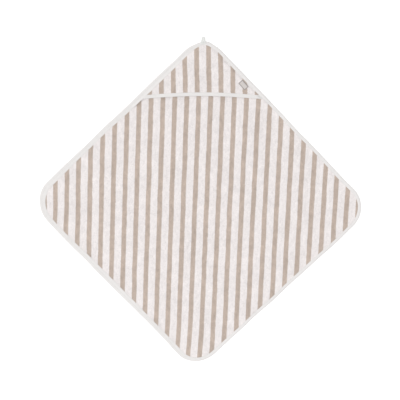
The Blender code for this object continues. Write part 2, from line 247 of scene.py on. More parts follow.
class Cut:
    """The towel's flat cut about its own middle: a rounded square on one corner, with the hood's mouth on it.

    Distance along the edge runs counter-clockwise from the lower end of the upper right side.
    """

    def __init__(self, sizes):
        self.sizes = sizes
        self.radius = sizes.corner_radius
        self.half_straight = (CORNER_REACH - self.radius) / ROOT_2
        self.half_side = self.half_straight + self.radius
        self.half_diagonal = self.half_side * ROOT_2
        self.quarter = 2.0 * self.half_straight + self.radius * QUARTER_TURN
        self.perimeter = 4.0 * self.quarter
        self.mouth_y = self.half_diagonal - sizes.hood_depth

    def edge(self, along):
        """(x, y, outward x, outward y) of the edge at these distances along it.

        On side k, which faces 45 + 90 k degrees, the edge is straight for two half sides, and it then
        turns through 90 degrees about the corner's centre.
        """
        side = np.floor(along / self.quarter)
        rest = along - side * self.quarter
        turn = np.maximum(rest - 2.0 * self.half_straight, 0.0) / self.radius
        facing = QUARTER_TURN / 2.0 + side * QUARTER_TURN
        run = np.minimum(rest, 2.0 * self.half_straight) - self.half_straight
        outward_x, outward_y = np.cos(facing + turn), np.sin(facing + turn)
        x = self.half_straight * np.cos(facing) - run * np.sin(facing) + self.radius * outward_x
        y = self.half_straight * np.sin(facing) + run * np.cos(facing) + self.radius * outward_y
        return x, y, outward_x, outward_y

    def nearest(self, x, y):
        """(distance along the edge, distance in from the edge) of the edge point nearest to x, y."""
        facing = np.floor(np.arctan2(y, x) / QUARTER_TURN) * QUARTER_TURN + QUARTER_TURN / 2.0
        out = x * np.cos(facing) + y * np.sin(facing)
        run = y * np.cos(facing) - x * np.sin(facing)
        past_x, past_run = out - self.half_straight, np.abs(run) - self.half_straight
        in_corner = (past_x > 0.0) & (past_run > 0.0)
        turn = np.where(in_corner, np.arctan2(past_run, np.where(in_corner, past_x, 1.0)), 0.0)
        inset = np.where(in_corner, self.radius - np.hypot(past_x, past_run), self.half_side - out)
        side = facing / QUARTER_TURN - 0.5
        middle = side * self.quarter + self.half_straight
        reach = np.minimum(np.abs(run), self.half_straight) + turn * self.radius
        return (middle + np.sign(run) * reach) % self.perimeter, inset

    def mouth_height(self, x, inset):
        """The mouth as y over x: a shallow arc, a little askew, this far up from the hood's free edge."""
        return self.mouth_y + inset + self.sizes.mouth_skew * x - x * x / (2.0 * self.sizes.mouth_bow)

    def mouth_end(self, hand, side_inset, mouth_inset):
        """x of the mouth's end on this hand (1 right, -1 left), where it meets the side this far in."""
        room = self.half_diagonal - side_inset * ROOT_2 - self.mouth_y - mouth_inset
        slope = 1.0 + hand * self.sizes.mouth_skew
        return hand * 2.0 * room / (slope + np.sqrt(slope * slope - 2.0 * room / self.sizes.mouth_bow))

    def hood_side(self, x, inset):
        """The hood's two sides and rounded corner as y over x, this far in from the towel's edge."""
        reach = self.radius - inset
        x = np.abs(x)
        on_arc = x < reach / ROOT_2
        arc = ROOT_2 * self.half_straight + np.sqrt(np.where(on_arc, reach * reach - x * x, 0.0))
        return np.where(on_arc, arc, self.half_diagonal - inset * ROOT_2 - x)

    def upper_lap(self, along):
        """Width of the edge binding's upper lap: wider on the left, and wandering a little."""
        sizes = self.sizes
        skew = np.tanh(3.0 * self.edge(along)[2] + 1.0)
        wander = np.sin(TURN * 7.0 * along / self.perimeter + 0.61)
        return sizes.edge_lap - sizes.edge_lap_skew * skew + sizes.edge_lap_wander * wander

    def swell(self, inset):
        """0 where the edge seam holds the cloth flat, rising to 1 where it is open."""
        return smooth((inset - self.sizes.edge_seam - PAST_SEAM) / SWELL)

    def beside_tape(self, x, y):
        """1 under the edge binding's upper lap, falling to 0 farther in."""
        along, inset = self.nearest(x, y)
        return near_tape(inset - self.upper_lap(along))

    def beside_hood(self, x, y):
        """1 where the edge binding takes in the hood as well, falling to 0 just past each mouth end."""
        return smooth((y - self.mouth_height(x, 0.0)) / 0.0106 + 1.0)

    def settled(self, x, y, z, on_hood=False):
        """Where points of the flat towel come to lie, in the frame.

        Level: z, plus a broad swell, a shorter swell that dies away in from the edge, and small puckers
        along the edge. The hood's pieces rise further, by the air under the hood, most at its mouth. All
        of it fades out at the hood's corner, where the loop hangs. Place: the cloth slides, each pull moves
        it by a bell curve of the distance from the pull, and the edge wavers.
        """
        sizes = self.sizes
        along, inset = self.nearest(x, y)
        near_edge = np.exp(-inset / 0.035)
        at_seam = np.exp(-np.maximum(inset - 0.010, 0.0) / 0.011)
        rise = sizes.swell * 0.5 * (1.0 + random_waves(x, y, 11, 0.12, 0.30))
        rise += sizes.edge_swell * 0.5 * near_edge * (1.0 + random_waves(x, y, 23, 0.06, 0.13))
        rise += sizes.pucker * 0.5 * at_seam * (1.0 + self.puckers(along))
        if on_hood:
            at_mouth = np.exp(-np.maximum(y - self.mouth_height(x, 0.0), 0.0) / 0.03)
            lift = sizes.mouth_lift * at_mouth * (1.0 + 0.6 * random_waves(x, y, 41, 0.05, 0.10))
            air = sizes.hood_air * (1.0 + 0.5 * random_waves(x, y, 37, 0.05, 0.11))
            rise += smooth((inset - sizes.edge_seam) / 0.07) * (air + lift)
        calm = 1.0 - bell(x / 0.06, (y - CORNER_REACH) / 0.06)
        waver = 0.0009 * random_waves(x, y, 31, 0.09, 0.20) * np.exp(-inset / 0.06)
        outward = 1.0 + waver / np.maximum(np.hypot(x, y), 0.05)
        place_x, place_y = x * outward + SLIDE, y * outward + CENTRE_Y
        for from_x, from_y, spread, pull_x, pull_y in PULLS:
            share = bell((x - from_x) / (ROOT_2 * spread), (y - from_y) / (ROOT_2 * spread))
            place_x, place_y = place_x + pull_x * share, place_y + pull_y * share
        return np.stack(np.broadcast_arrays(place_x, place_y, z + rise * calm), axis=-1)

    def puckers(self, along):
        """Small gathers along the edge: sine waves 15 to 26 mm long, whole round it, that come and go."""
        draw = np.random.default_rng(53)
        total = np.zeros(np.shape(along))
        turns = TURN * along / self.perimeter
        for count in draw.integers(int(self.perimeter / 0.026), int(self.perimeter / 0.015), 8):
            total += np.sin(count * turns + draw.uniform(0.0, TURN))
        coming = 0.6 + 0.4 * np.sin(9.0 * turns + 1.0) * np.sin(5.0 * turns)
        return np.tanh(total / math.sqrt(8.0)) * coming


def grid_quads(index):
    """The quads between the rows and columns of a grid of point numbers."""
    corners = index[:-1, :-1], index[1:, :-1], index[1:, 1:], index[:-1, 1:]
    return np.stack(corners, axis=-1).reshape(-1, 4)


def slab(upper, lower, u, v, joined=False):
    """(points, quads, UVs) of the closed sheet between two grids of points that lie one over the other.

    Point (i, j) of one grid is over point (i, j) of the other, and both have the same u and v. Walls close
    the rim. A joined sheet's last row meets its first, so that only its two long edges have walls.
    """
    rows, columns = upper.shape[:2]
    count = rows * columns
    index = np.arange(count).reshape(rows, columns)
    if joined:
        index = np.vstack([index, index[:1]])
        rims = [index[::-1, 0], index[:, -1]]
    else:
        rims = [np.concatenate([index[0], index[1:, -1], index[-1, -2::-1], index[-2::-1, 0]])]
    faces = grid_quads(index)
    walls = [np.stack([rim[:-1], rim[1:], rim[1:] + count, rim[:-1] + count], axis=-1) for rim in rims]
    points = np.concatenate([upper.reshape(-1, 3), lower.reshape(-1, 3)])
    flat = np.stack(np.broadcast_arrays(u, v), axis=-1).reshape(-1, 2)
    return points, np.concatenate([faces, faces[:, ::-1] + count, *walls]), np.concatenate([flat, flat])


def tube(path, across, radius, joined=False):
    """(points, quads, UVs) of a six-sided thread along a path.

    Point = path + radius (cos a across + sin a up), where across is squared to the path's direction and
    up is square to both. The UVs are the distance along and round it.
    """
    if joined:
        direction = np.roll(path, -1, axis=0) - np.roll(path, 1, axis=0)
    else:
        direction = np.gradient(path, axis=0)
    direction /= np.linalg.norm(direction, axis=1, keepdims=True)
    across = across - direction * np.sum(across * direction, axis=1, keepdims=True)
    across /= np.linalg.norm(across, axis=1, keepdims=True)
    up = np.cross(direction, across)
    angle = np.arange(6) * math.pi / 3.0
    ring = np.cos(angle)[:, None] * across[:, None] + np.sin(angle)[:, None] * up[:, None]
    points = path[:, None] + radius * ring
    index = np.arange(len(path) * 6).reshape(-1, 6)
    rows = np.vstack([index, index[:1]]) if joined else index
    rows = np.hstack([rows, rows[:, :1]])
    quads = [grid_quads(rows)]
    if not joined:
        quads += [index[0][[[0, 1, 2, 3], [0, 3, 4, 5]]], index[-1][[[3, 2, 1, 0], [5, 4, 3, 0]]]]
    flat = np.stack(np.broadcast_arrays(distances(path)[:, None], radius * angle), axis=-1)
    return points.reshape(-1, 3), np.concatenate(quads), flat.reshape(-1, 2)


def distances(path):
    """The distance along a path of each of its points."""
    return np.concatenate([[0.0], np.cumsum(np.linalg.norm(np.diff(path, axis=0), axis=1))])


def linked(name, data):
    """A new object in the scene."""
    made = bpy.data.objects.new(name, data)
    bpy.context.scene.collection.objects.link(made)
    return made


def piece(name, points, quads, flat, material, **masks):
    """One closed, smooth piece from its points, its quads, its flat UVs and masks per point.

    A mask of a slab's upper points is repeated for the lower ones. The quads are turned round together if
    the volume that they hold, the sum of a . (b x c) + a . (c x d) over their corners, is below zero.
    Edges sharper than 50 degrees stay sharp.
    """
    a, b, c, d = (points[quads[:, i]] for i in range(4))
    if np.sum(a * (np.cross(b, c) + np.cross(c, d))) < 0.0:
        quads = quads[:, ::-1]
    mesh = bpy.data.meshes.new(name)
    mesh.vertices.add(len(points))
    mesh.vertices.foreach_set("co", points.astype(np.float32).ravel())
    mesh.loops.add(quads.size)
    mesh.loops.foreach_set("vertex_index", quads.astype(np.int32).ravel())
    mesh.polygons.add(len(quads))
    mesh.polygons.foreach_set("loop_start", np.arange(0, quads.size, 4, dtype=np.int32))
    mesh.update(calc_edges=True)
    uv = mesh.uv_layers.new(name="flat")
    uv.uv.foreach_set("vector", flat[quads].astype(np.float32).ravel())
    for mask, values in masks.items():
        attribute = mesh.attributes.new(mask, "FLOAT", "POINT")
        attribute.data.foreach_set("value", np.resize(values, len(points)).astype(np.float32))
    mesh.shade_smooth()
    mesh.set_sharp_from_angle(angle=math.radians(50.0))
    mesh.materials.append(material)
    return linked(name, mesh)


# Materials.


class Nodes:
    """Adds nodes to one tree, so that a pattern reads like its formula."""

    def __init__(self, tree):
        self.tree = tree

    def add(self, kind, inputs=None, **settings):
        """A node of this kind, with its settings, and with each input linked or set."""
        node = self.tree.nodes.new(kind)
        for key, value in settings.items():
            setattr(node, key, value)
        for key, value in (inputs or {}).items():
            self.feed(node.inputs[key], value)
        return node

    def feed(self, socket, value):
        if isinstance(value, bpy.types.NodeSocket):
            self.tree.links.new(value, socket)
        else:
            socket.default_value = value

    def sum(self, operation, *values):
        """A Math node's value."""
        node = self.add("ShaderNodeMath", operation=operation)
        for socket, value in zip(node.inputs, values):
            self.feed(socket, value)
        return node.outputs[0]

    def vector(self, operation, first, second):
        """A Vector Math node's vector."""
        return self.add("ShaderNodeVectorMath", {0: first, 1: second}, operation=operation).outputs["Vector"]

    def parts(self, vector):
        """A vector's x, y and z."""
        return self.add("ShaderNodeSeparateXYZ", {0: vector}).outputs

    def ramp(self, value, low, high, to_low=0.0, to_high=1.0, even=False):
        """value mapped from low..high to to_low..to_high, as an even S unless even is set."""
        settings = {"interpolation_type": "LINEAR" if even else "SMOOTHSTEP"}
        inputs = {"Value": value, "From Min": low, "From Max": high, "To Min": to_low, "To Max": to_high}
        return self.add("ShaderNodeMapRange", inputs, **settings).outputs["Result"]

    def noise(self, vector, size, detail=2.0, roughness=0.5):
        """Noise of about 0 to 1 whose blots are this far apart."""
        inputs = {"Vector": vector, "Scale": 1.0 / size, "Detail": detail, "Roughness": roughness}
        return self.add("ShaderNodeTexNoise", inputs).outputs["Fac"]

    def blend(self, share, first, second, mode="MIX"):
        """Two colours mixed."""
        inputs = {0: share, 6: first, 7: second}
        return self.add("ShaderNodeMix", inputs, data_type="RGBA", blend_type=mode).outputs[2]


def new_group(name, inputs, outputs):
    """A shader node group with these named float or vector inputs and float outputs."""
    group = bpy.data.node_groups.new(name, "ShaderNodeTree")
    for key, default in inputs.items():
        kind = "NodeSocketVector" if default is None else "NodeSocketFloat"
        socket = group.interface.new_socket(key, in_out="INPUT", socket_type=kind)
        if default is not None:
            socket.default_value = default
    for key in outputs:
        group.interface.new_socket(key, in_out="OUTPUT", socket_type="NodeSocketFloat")
    nodes = Nodes(group)
    return group, nodes, nodes.add("NodeGroupInput").outputs, nodes.add("NodeGroupOutput").inputs


def striped_terry(name):
    """Looped pile woven in stripes.

    Loops: the cells of a Voronoi pattern, longer along the stripes than across them. A loop's height falls
    off with the square of the distance from its middle. A loop is white or coloured as a whole: its
    middle's x, less the lean and fan of the cloth and a slow waver, is taken to the nearest stripe.
    Lay: slow noise, for patches where the pile leans over.
    """
    inputs = {"Vector": None, "Loop Size": 0.0013, "Pitch": 0.036, "Share": 0.4}
    inputs |= {"Offset": 0.0, "Lean": 0.0, "Fan": 0.0, "Waver": 0.002}
    group, nodes, given, out = new_group(name, inputs, ["Stripe", "Height", "Shade", "Lay"])
    flat = given["Vector"]
    ragged = nodes.add("ShaderNodeTexNoise", {"Vector": flat, "Scale": 420.0, "Detail": 1.0}).outputs["Color"]
    jitter = nodes.vector("SUBTRACT", ragged, (0.5, 0.5, 0.5))
    jitter = nodes.vector("MULTIPLY", jitter, (0.0012, 0.0012, 0.0))
    stretched = nodes.vector("MULTIPLY", nodes.vector("ADD", flat, jitter), (1.0, 0.72, 1.0))
    scale = nodes.sum("DIVIDE", 1.0, given["Loop Size"])
    cells = nodes.add("ShaderNodeTexVoronoi", {"Vector": stretched, "Scale": scale, "Randomness": 0.8})
    fall = nodes.sum("POWER", cells.outputs["Distance"], 2.0)
    nodes.feed(out["Height"], nodes.sum("MULTIPLY_ADD", fall, -1.6, 1.0))
    place = nodes.parts(nodes.vector("MULTIPLY", cells.outputs["Position"], (1.0, 1.0 / 0.72, 1.0)))
    leant = nodes.sum("SUBTRACT", place[0], nodes.sum("MULTIPLY", place[1], given["Lean"]))
    fanned = nodes.sum("DIVIDE", leant, nodes.sum("MULTIPLY_ADD", place[1], given["Fan"], 1.0))
    drift = nodes.noise(nodes.vector("MULTIPLY", flat, (1.0, 0.7, 1.0)), 0.060)
    wavered = nodes.sum("MULTIPLY_ADD", nodes.sum("SUBTRACT", drift, 0.5), given["Waver"], fanned)
    phase = nodes.sum("DIVIDE", nodes.sum("SUBTRACT", wavered, given["Offset"]), given["Pitch"])
    off_middle = nodes.sum("ABSOLUTE", nodes.sum("SUBTRACT", phase, nodes.sum("ROUND", phase)))
    half = nodes.sum("MULTIPLY", given["Share"], 0.5)
    rims = nodes.sum("SUBTRACT", half, 0.012), nodes.sum("ADD", half, 0.012)
    nodes.feed(out["Stripe"], nodes.ramp(off_middle, *rims, 1.0, 0.0))
    cell_tone = nodes.add("ShaderNodeSeparateColor", {0: cells.outputs["Color"]}).outputs[0]
    # Painted shade in the hollows between loops: each loop darkens towards its rim. The cell tone is each
    # loop's own random tone.
    hollow_shade = nodes.ramp(cells.outputs["Distance"], 0.25, 0.85, 1.0, 0.86)
    nodes.feed(out["Shade"], nodes.sum("MULTIPLY", hollow_shade, nodes.sum("MULTIPLY_ADD", cell_tone, 0.10, 0.97)))
    slow = nodes.noise(nodes.vector("MULTIPLY", flat, (1.0, 0.55, 1.0)), 0.011, detail=3.0, roughness=0.6)
    broad = nodes.sum("MULTIPLY", nodes.noise(flat, 0.070), 0.35)
    nodes.feed(out["Lay"], nodes.sum("MULTIPLY_ADD", slow, 0.65, broad))
    return group


def woven_tape(name):
    """Plain weave: bumps of warp and weft in turn, sin x times sin y, with slubs from stretched noise."""
    group, nodes, given, out = new_group(name, {"Vector": None, "Thread": 0.0005}, ["Height", "Shade"])
    flat = given["Vector"]
    place = nodes.parts(flat)
    turn = nodes.sum("DIVIDE", math.pi, given["Thread"])
    warp, weft = (nodes.sum("SINE", nodes.sum("MULTIPLY", part, turn)) for part in (place[0], place[1]))
    nodes.feed(out["Height"], nodes.sum("MULTIPLY_ADD", nodes.sum("MULTIPLY", warp, weft), 0.5, 0.5))
    slubs = nodes.noise(nodes.vector("MULTIPLY", flat, (0.15, 1.0, 1.0)), 0.0009)
    broad = nodes.sum("MULTIPLY_ADD", nodes.noise(flat, 0.020), 0.06, 0.92)
    nodes.feed(out["Shade"], nodes.sum("MULTIPLY_ADD", slubs, 0.10, broad))
    return group


def spun_thread(name):
    """Two-ply twist: ridges round the thread, the sine of the distance along it plus that round it."""
    group, nodes, given, out = new_group(name, {"Vector": None, "Twist": 0.0011}, ["Height", "Shade"])
    flat = given["Vector"]
    place = nodes.parts(flat)
    wound = nodes.sum("MULTIPLY", nodes.sum("MULTIPLY_ADD", place[1], 0.9, place[0]), TURN)
    ridge = nodes.sum("SINE", nodes.sum("DIVIDE", wound, given["Twist"]))
    fibre = nodes.noise(nodes.vector("MULTIPLY", flat, (0.3, 1.0, 1.0)), 0.00012)
    # Shade follows the same ridges and fibres as Height: painted shade, darker in the twist's grooves and
    # lighter on its ridges.
    for key, ridged, frayed, base in (("Height", 0.4, 0.3, 0.4), ("Shade", 0.07, 0.10, 0.88)):
        rest = nodes.sum("MULTIPLY_ADD", fibre, frayed, base)
        nodes.feed(out[key], nodes.sum("MULTIPLY_ADD", ridge, ridged, rest))
    return group


PATTERNS = {"striped terry": striped_terry, "woven tape": woven_tape, "spun thread": spun_thread}


class Cloth(Nodes):
    """The nodes of a matt cloth's material, with one of the patterns laid on its piece's flat UVs."""

    def __init__(self, name, pattern, given, sheen, sheen_roughness=0.5):
        self.material = bpy.data.materials.new(name)
        self.material.use_nodes = True
        super().__init__(self.material.node_tree)
        self.shader = self.tree.nodes["Principled BSDF"].inputs
        self.shader["Specular IOR Level"].default_value = 0.15
        self.shader["Sheen Weight"].default_value = sheen
        self.shader["Sheen Roughness"].default_value = sheen_roughness
        self.flat = self.add("ShaderNodeUVMap", uv_map="flat").outputs["UV"]
        group = self.add("ShaderNodeGroup")
        group.node_tree = bpy.data.node_groups.get(pattern) or PATTERNS[pattern](pattern)
        for key, value in {"Vector": self.flat, **given}.items():
            self.feed(group.inputs[key], value)
        self.pattern = group.outputs

    def relief(self, height, depth, strength, under=None):
        """The normal of a bump this deep, over an earlier one."""
        inputs = {"Height": height, "Strength": strength, "Distance": depth}
        if under is not None:
            inputs["Normal"] = under
        return self.add("ShaderNodeBump", inputs).outputs["Normal"]

    def finished(self, colour, shade, low_high, depth, strength, under=None):
        """The material: its colour shaded, its roughness from low pattern to high, and its relief."""
        height = self.pattern["Height"]
        grey = self.add("ShaderNodeCombineColor", {0: shade, 1: shade, 2: shade}).outputs[0]
        self.feed(self.shader["Base Color"], self.blend(1.0, colour, grey, "MULTIPLY"))
        self.feed(self.shader["Roughness"], self.ramp(height, 0.0, 1.0, *low_high))
        self.feed(self.shader["Normal"], self.relief(height, depth, strength, under))
        return self.material


def terry_material(name, colours, sizes, pitch, stripes):
    """Striped terry: loops, stripes, patches of lying pile, and pile pressed flat, with painted shade, along
    the seams.
    """
    given = {"Loop Size": sizes.pile_loop, "Pitch": pitch, "Share": sizes.stripe_share, **stripes}
    cloth = Cloth(name, "striped terry", given, sheen=0.25, sheen_roughness=0.6)
    stripe, lay = cloth.pattern["Stripe"], cloth.pattern["Lay"]
    pressed = cloth.add("ShaderNodeAttribute", attribute_name="pressed").outputs["Fac"]
    plain = cloth.blend(stripe, (*colours.terry_white, 1.0), (*colours.terry_beige, 1.0))
    patch = cloth.ramp(lay, 0.30, 0.70, -0.10, 0.10, even=True)
    patch = cloth.sum("MULTIPLY_ADD", patch, cloth.sum("MULTIPLY_ADD", stripe, 0.7, 1.0), 0.99)
    shade = cloth.sum("MULTIPLY", cloth.pattern["Shade"], patch)
    # Painted shade: pile beside each tape's lap, pressed into a groove there, is made up to 2% darker.
    shade = cloth.sum("MULTIPLY", shade, cloth.sum("MULTIPLY_ADD", pressed, -0.02, 1.0))
    standing = cloth.ramp(pressed, 0.0, 1.0, 0.60, 0.35, even=True)
    leaning = cloth.relief(lay, 0.0022, 0.5)
    return cloth.finished(plain, shade, (1.0, 0.86), 0.0008, standing, under=leaning)


def tape_material(name, colour, thread):
    """Matt cotton tape of a fine plain weave."""
    cloth = Cloth(name, "woven tape", {"Thread": thread}, sheen=0.12)
    return cloth.finished((*colour, 1.0), cloth.pattern["Shade"], (0.92, 0.78), 0.00012, 0.6)


def label_material(name, colours, sizes):
    """The label's ribbon: a plain weave with a darker border, where |u| or |v| comes near the rim."""
    cloth = Cloth(name, "woven tape", {"Thread": 0.0004}, sheen=0.3)
    place = cloth.parts(cloth.flat)
    from_end = cloth.sum("SUBTRACT", sizes.label_length / 2.0, cloth.sum("ABSOLUTE", place[0]))
    from_side = cloth.sum("SUBTRACT", sizes.label_width / 2.0, cloth.sum("ABSOLUTE", place[1]))
    border = cloth.ramp(cloth.sum("MINIMUM", from_end, from_side), 0.0020, 0.0024, 1.0, 0.0)
    plain = cloth.blend(border, (*colours.label, 1.0), (*colours.label_border, 1.0))
    return cloth.finished(plain, cloth.pattern["Shade"], (0.85, 0.65), 0.00010, 0.6)


def thread_material(name, colour):
    """Spun cotton, twisted."""
    cloth = Cloth(name, "spun thread", {}, sheen=0.2)
    return cloth.finished((*colour, 1.0), cloth.pattern["Shade"], (0.85, 0.6), 0.0001, 0.8)


# The cloth.


def body_cloth(cut, material):
    """The square of terry, pressed flat out from the edge seam and swelling to its full thickness inside it.

    A square grid (a, b) is laid on the rounded square. Ring k = max(|a|, |b|) is a line of one inset, and
    the place along it is the share of the other index. Close to the edge the rings are true insets, and
    farther in they are shrunk copies of the innermost one.
    """
    insets = np.array([25.0, 22.5, 20.2, 18.2, 16.4, 14.8, 13.4, 12.0, 10.4, 8.0, 4.0, 1.3]) / 1000.0
    inner = 84
    size = inner + len(insets) - 1
    a, b = np.meshgrid(np.arange(-size, size + 1), np.arange(-size, size + 1), indexing="ij")
    ring = np.maximum(np.abs(a), np.abs(b))
    inset = insets[np.maximum(ring - inner, 0)]
    shrunk = np.minimum(ring / inner, 1.0)
    first = np.abs(a) >= np.abs(b)
    main, other = np.where(first, a, b), np.where(first, b, a)
    reach = (cut.half_straight + cut.radius * QUARTER_TURN / 2.0) * np.abs(other) / np.maximum(ring, 1)
    turn = np.maximum(reach - cut.half_straight, 0.0) / cut.radius
    arm = cut.radius - inset
    out = shrunk * (cut.half_straight + arm * np.cos(turn)) * np.sign(main)
    aside = shrunk * (np.minimum(reach, cut.half_straight) + arm * np.sin(turn)) * np.sign(other)
    u, v = np.where(first, out, aside), np.where(first, aside, out)
    x, y = (u - v) / ROOT_2, (u + v) / ROOT_2
    _, inset = cut.nearest(x, y)
    open_share = cut.swell(inset)
    top = mixed(BODY_SEWN_MIDDLE + SEWN_TERRY / 2.0, BODY_TOP, open_share)
    bottom = mixed(BODY_SEWN_MIDDLE - SEWN_TERRY / 2.0, BODY_BOTTOM, open_share)
    sheet = slab(cut.settled(x, y, top), cut.settled(x, y, bottom), x, y)
    return piece("body_cloth", *sheet, material, pressed=cut.beside_tape(x, y))


def hood_levels(cut, x, y):
    """Levels of the hood's two faces on the flat towel.

    The middle level and the thickness are mixed from those of open cloth, cloth in the mouth binding and
    cloth in the edge binding.
    """
    in_side = 1.0 - cut.swell(cut.nearest(x, y)[1])
    in_mouth = 1.0 - smooth((y - cut.mouth_height(x, 0.0) - cut.sizes.mouth_tape_width) / SWELL)
    thickness = mixed(HOOD_TOP - HOOD_BOTTOM, SEWN_TERRY, np.maximum(in_side, in_mouth))
    half = (thickness - TERRY_IN_SEAM_CORNER * in_side * in_mouth) / 2.0
    middle = mixed(mixed(HOOD_MIDDLE, MOUTH_MIDDLE, in_mouth), HOOD_SEWN_MIDDLE, in_side)
    return middle + half, middle - half


def hood_cloth(cut, hand, material):
    """One half of the hood, from its middle to the right (hand 1) or left (hand -1) mouth end.

    Columns stand at even x. Rows run from the mouth to the side: fixed steps at both ends, where the cloth
    is pressed and swells, and even steps between. Its outer rim is inside the edge binding, and its lower
    rim inside the mouth binding.
    """
    end = cut.mouth_end(hand, CLOTH_IN_FOLD, CLOTH_IN_FOLD) - hand * CUT_BACK
    x = np.linspace(0.0, end, 101)[:, None]
    low, high = cut.mouth_height(x, CLOTH_IN_FOLD), cut.hood_side(x, CLOTH_IN_FOLD)
    from_mouth = np.array([0.0, 3.0, 6.0, 9.0, 11.0, 12.6, 14.4, 16.4, 18.8, 21.6]) / 1000.0
    from_side = np.array([30.0, 26.0, 22.8, 20.0, 17.6, 15.4, 13.0, 9.0, 4.0, 0.0]) / 1000.0
    squeezed = np.minimum(1.0, (high - low) / (1.15 * (from_mouth[-1] + from_side[0])))
    lower, upper = low + from_mouth * squeezed, high - from_side * squeezed
    between = np.linspace(0.0, 1.0, 42)[1:-1]
    y = np.hstack([lower, mixed(lower[:, -1:], upper[:, :1], between), upper])
    x = np.broadcast_to(x, y.shape)
    faces = [cut.settled(x, y, level, on_hood=True) for level in hood_levels(cut, x, y)]
    near_mouth = near_tape(y - cut.mouth_height(x, cut.sizes.mouth_tape_width))
    pressed = np.maximum(cut.beside_tape(x, y), near_mouth)
    return piece(f"hood_cloth_{SIDES[hand]}", *slab(*faces, x, y), material, pressed=pressed)


# The tapes.

FLAP_STEPS = np.array([1.0, 0.94, 0.62, 0.30, 0.0])
SEAM_STEPS = np.array([0.7, 0.0, -0.7]) / 1000.0
CROWN_STEPS = np.array([1.0, 0.70, 0.40, 0.10])
LOWER_STEPS = np.array([0.10, 0.50, 0.85, 1.0])
FOLD_TURNS = np.radians([90.0, 66.0, 44.0, 22.0, 0.0, -22.0, -44.0, -66.0, -90.0])


def lap_relief(inset, seam):
    """The upper lap's own relief: a low crown out to its seam, and a groove where the stitches pull."""
    crown = 0.00035 * np.sin(math.pi * np.clip((inset - 0.0018) / (seam - 0.0020), 0.0, 1.0))
    return crown - 0.00024 * bell((inset - seam) / 0.0008)


def folded_tape(upper, lower, seam, thickness, low, high, rise):
    """(insets, levels) of the outer and of the inner face of a tape folded over an edge, at each station.

    From the upper lap's free edge it runs in over the flap, the seam and the crown to the fold, round half
    a circle about the middle level, and back along the lower lap. upper and lower are the laps' widths,
    and low and high their outer levels, at each station. The flap past the seam rises with the cloth under
    it, by rise in all. The inner surface is the same shape, one thickness in.
    """
    upper, lower, low, high, rise = (
        values[:, None] for values in np.broadcast_arrays(upper, lower, low, high, rise)
    )
    radius, middle = (high - low) / 2.0, (high + low) / 2.0
    cosine, sine = np.cos(FOLD_TURNS), np.sin(FOLD_TURNS)
    flap = mixed(seam + 0.0014, upper, FLAP_STEPS)
    at_seam = np.broadcast_to(seam + SEAM_STEPS, (len(radius), len(SEAM_STEPS)))
    crown = mixed(radius, seam - 0.0016, CROWN_STEPS)
    over = np.hstack([flap, at_seam, crown])
    raised = high + lap_relief(over, seam) + rise * smooth((over - seam - PAST_SEAM) / SWELL)
    under = mixed(radius, lower, LOWER_STEPS)
    flat_low = low * np.ones_like(under)
    faces = []
    for depth in (0.0, thickness):
        inset = np.hstack([over, radius - (radius - depth) * cosine, under])
        level = np.hstack([raised - depth, middle + (radius - depth) * sine, flat_low + depth])
        faces.append((inset, level))
    return faces


def across_tape(insets, levels):
    """Distance across the unrolled tape from its fold, for each station's outline."""
    steps = np.hypot(np.diff(insets, axis=1), np.diff(levels, axis=1))
    across = np.hstack([np.zeros((len(steps), 1)), np.cumsum(steps, axis=1)])
    fold = across.shape[1] - len(LOWER_STEPS) - len(FOLD_TURNS) // 2 - 1
    return across - across[:, fold, None]


def edge_tape(cut, material):
    """The tape over the whole edge: thicker beside the hood, and bulging where the mouth's tape goes in."""
    sizes = cut.sizes
    stations = 1428
    along = np.arange(stations) * cut.perimeter / stations
    x, y, out_x, out_y = cut.edge(along)
    upper = cut.upper_lap(along)
    lower = 2.0 * sizes.edge_lap - upper
    rise = mixed(BODY_TOP - LAP_TOP, HOOD_TOP - DOUBLE_LAP_TOP, cut.beside_hood(x, y))
    rise += sizes.tape_thickness + GAP
    top = edge_lap_top(cut, x, y)
    tape = folded_tape(upper, lower, sizes.edge_seam, sizes.tape_thickness, LAP_BOTTOM, top, rise)
    x, y, out_x, out_y = (part[:, None] for part in (x, y, out_x, out_y))
    faces = [cut.settled(x - inset * out_x, y - inset * out_y, level) for inset, level in tape]
    return piece("edge_tape", *slab(*faces, along[:, None], across_tape(*tape[0]), joined=True), material)


def edge_lap_top(cut, x, y):
    """The level of the edge binding's upper lap at points of the edge."""
    off_tape = y - cut.mouth_height(x, 0.0) - 0.006
    return LAP_TOP + SECOND_LAYER * cut.beside_hood(x, y) + MOUTH_BULGE * bell(off_tape / 0.009)


def mouth_places(cut, hand, share, inset, side_inset=TAPE_TUCK):
    """x and y on the mouth: this share of the way from its middle to its end, this far up from its edge."""
    x = cut.mouth_end(hand, side_inset, inset) * share
    return x, cut.mouth_height(x, inset)


def tucked(cut, x, y, level):
    """A level of the mouth binding, squashed and sunk where it goes in under the edge binding."""
    under = 1.0 - cut.swell(cut.nearest(x, y)[1])
    return mixed(level, HOOD_SEWN_MIDDLE + 0.47 * (level - MOUTH_MIDDLE), under)


def mouth_tape(cut, hand, material):
    """One half of the tape folded over the hood's mouth."""
    stations = 121
    share = np.linspace(0.0, 1.0, stations)[:, None]
    width, thickness = np.full(stations, cut.sizes.mouth_tape_width), cut.sizes.tape_thickness
    seam = cut.sizes.mouth_tape_width - SEAM_SETBACK
    tape = folded_tape(width, width, seam, thickness, MOUTH_LAP_BOTTOM, MOUTH_LAP_TOP, 0.0)
    faces = []
    for inset, level in tape:
        x, y = mouth_places(cut, hand, share, inset)
        faces.append(cut.settled(x, y, tucked(cut, x, y, level), on_hood=True))
    x, _ = mouth_places(cut, hand, share, tape[0][0])
    return piece(f"mouth_tape_{SIDES[hand]}", *slab(*faces, x, across_tape(*tape[0])), material)


# The threads.


